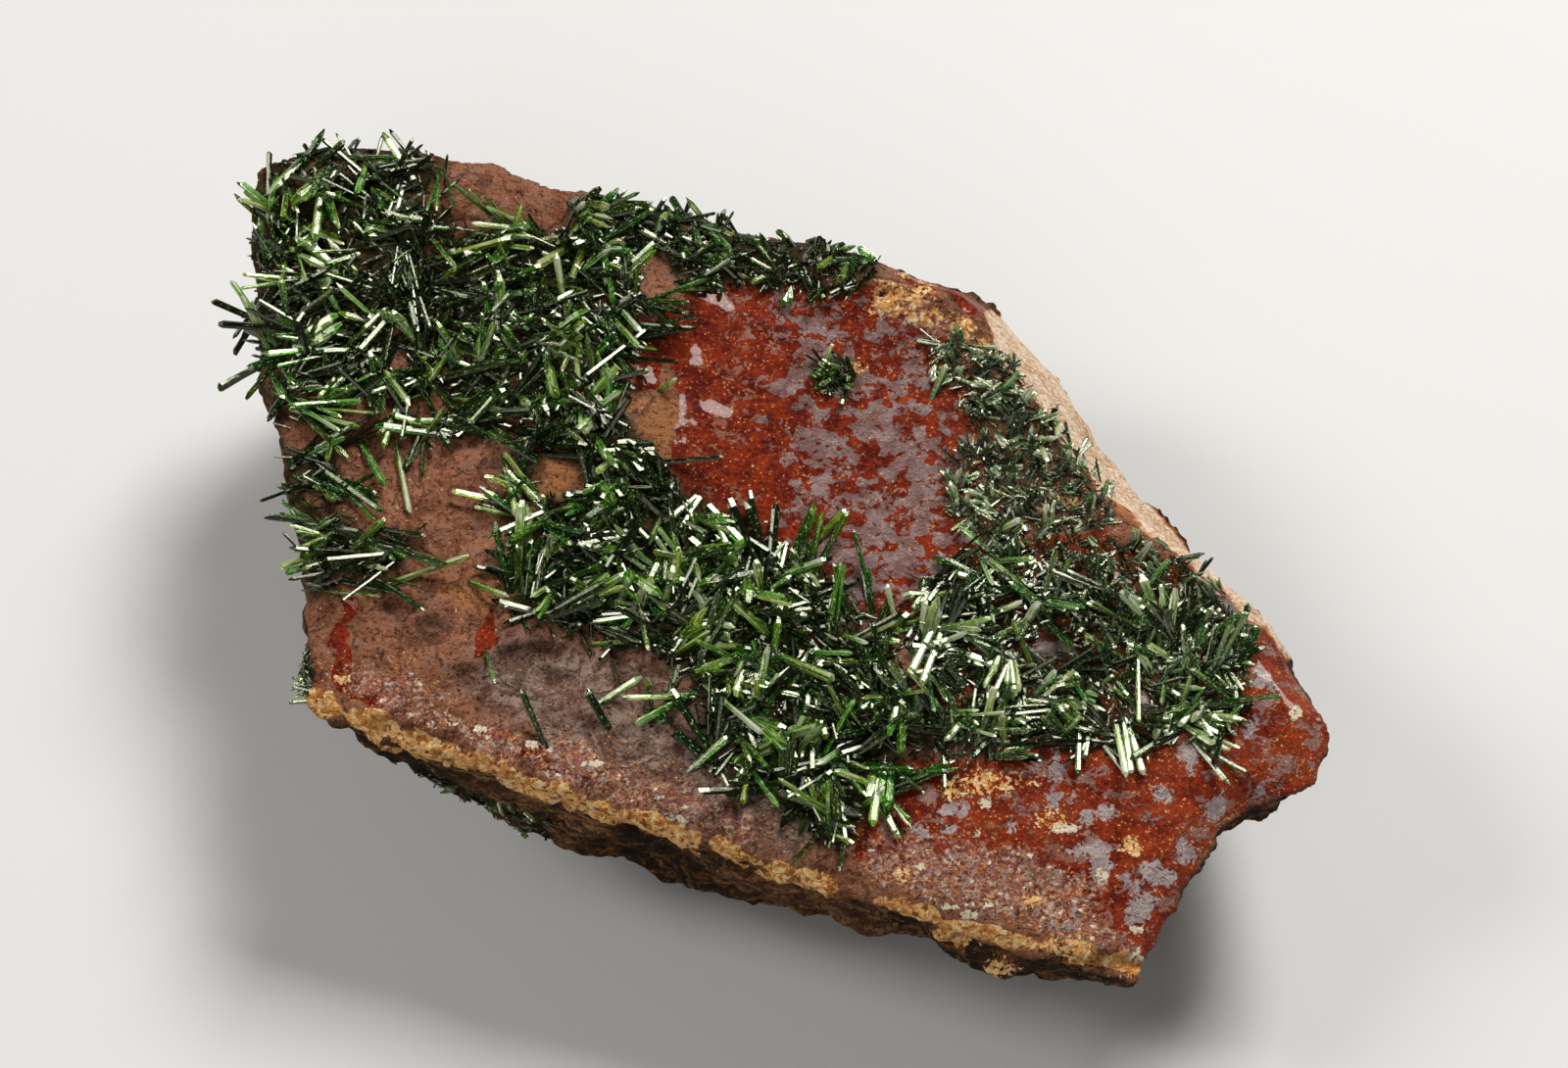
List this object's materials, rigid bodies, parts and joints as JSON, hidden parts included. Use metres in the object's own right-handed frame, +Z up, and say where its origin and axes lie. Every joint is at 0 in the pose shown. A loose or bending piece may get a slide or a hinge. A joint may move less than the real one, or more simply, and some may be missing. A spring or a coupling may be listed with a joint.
{
  "type": "olivenite specimen",
  "caption": "Slab of iron-stained rock lying flat, its upper face set with sprays of translucent green needle-like crystals growing along three edges and across the middle.",
  "frame": {"origin": "centre of the specimen's bounding box, on the plane it rests on", "axes": "+X along the slab's length to its pointed right end, +Y to its high back edge, +Z up out of the crystal face"},
  "size_m": [0.0694, 0.0574, 0.0246],
  "materials": {
    "rock": "iron-stained red-brown rock, matt at the left, varnished at the right",
    "olivenite": "translucent dark olive-green, glassy, striated along the crystals"
  },
  "bodies": {
    "root": {"rock_matrix": "rock", "crystals_upper_left": "olivenite", "crystals_back_edge": "olivenite", "crystals_left_edge": "olivenite", "crystals_centre": "olivenite", "crystals_right": "olivenite", "crystals_chip_edge": "olivenite", "crystal_rosette": "olivenite", "crystals_left_corner": "olivenite", "crystals_front_wall": "olivenite"}
  },
  "joints": []
}
